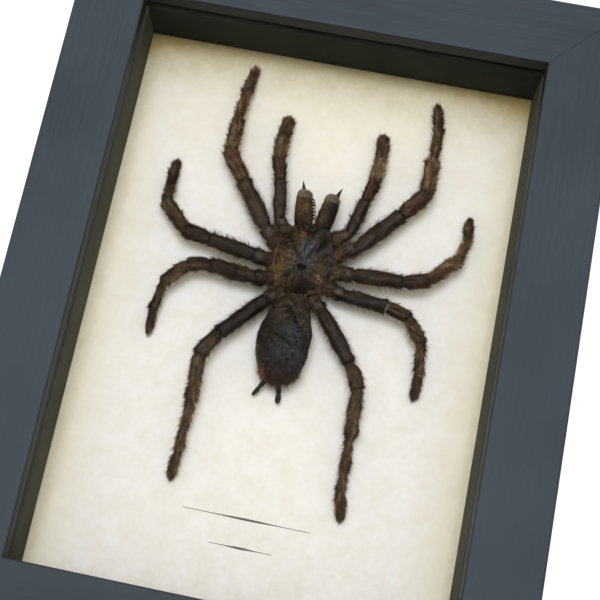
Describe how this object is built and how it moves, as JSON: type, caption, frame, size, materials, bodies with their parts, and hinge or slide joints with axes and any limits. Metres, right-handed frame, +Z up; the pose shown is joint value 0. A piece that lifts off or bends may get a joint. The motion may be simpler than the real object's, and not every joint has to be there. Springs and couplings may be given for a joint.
{
  "type": "framed tarantula specimen",
  "caption": "Dried tarantula spread on cream parchment in a glazed, dark painted wooden shadow box that stands on its edge or hangs on a wall.",
  "frame": {"origin": "under the middle of the box, on the surface that its bottom edge stands on", "axes": "+Z up along the box's height, -Y out of the glazed front, +X to the viewer's right"},
  "size_m": [0.165, 0.038, 0.2159],
  "materials": {
    "painted_wood": "matt slate-grey paint over fine straight grain",
    "liner_paint": "matt black-grey paint",
    "pane_glass": "clear picture glass",
    "parchment_paper": "mottled cream parchment paper",
    "board": "white pulp mounting board",
    "hardboard": "brown smooth hardboard",
    "steel": "zinc-plated steel",
    "felt": "dark grey felt",
    "cuticle": "dried black-brown cuticle with short brown hair",
    "abdomen_skin": "matt, creased black-brown skin with short hair",
    "fang_horn": "glossy black horn"
  },
  "bodies": {
    "root": {"rail_top": "painted_wood", "rail_bottom": "painted_wood", "rail_left": "painted_wood", "rail_right": "painted_wood", "liner_top": "liner_paint", "liner_bottom": "liner_paint", "liner_left": "liner_paint", "liner_right": "liner_paint", "pane": "pane_glass", "parchment": "parchment_paper", "mount_board": "board", "back_board": "hardboard", "point_1": "steel", "point_2": "steel", "point_3": "steel", "point_4": "steel", "point_5": "steel", "point_6": "steel", "hanger": "steel", "hanger_nail_left": "steel", "hanger_nail_right": "steel", "bumper_left": "felt", "bumper_right": "felt", "cephalothorax": "cuticle", "abdomen": "abdomen_skin", "chelicera_left": "cuticle", "chelicera_right": "cuticle", "fang_left": "fang_horn", "fang_right": "fang_horn", "palp_left": "cuticle", "palp_right": "cuticle", "leg_1_left": "cuticle", "leg_2_left": "cuticle", "leg_3_left": "cuticle", "leg_4_left": "cuticle", "leg_1_right": "cuticle", "leg_2_right": "cuticle", "leg_3_right": "cuticle", "leg_4_right": "cuticle", "spinneret_left": "abdomen_skin", "spinneret_right": "abdomen_skin"}
  },
  "joints": []
}
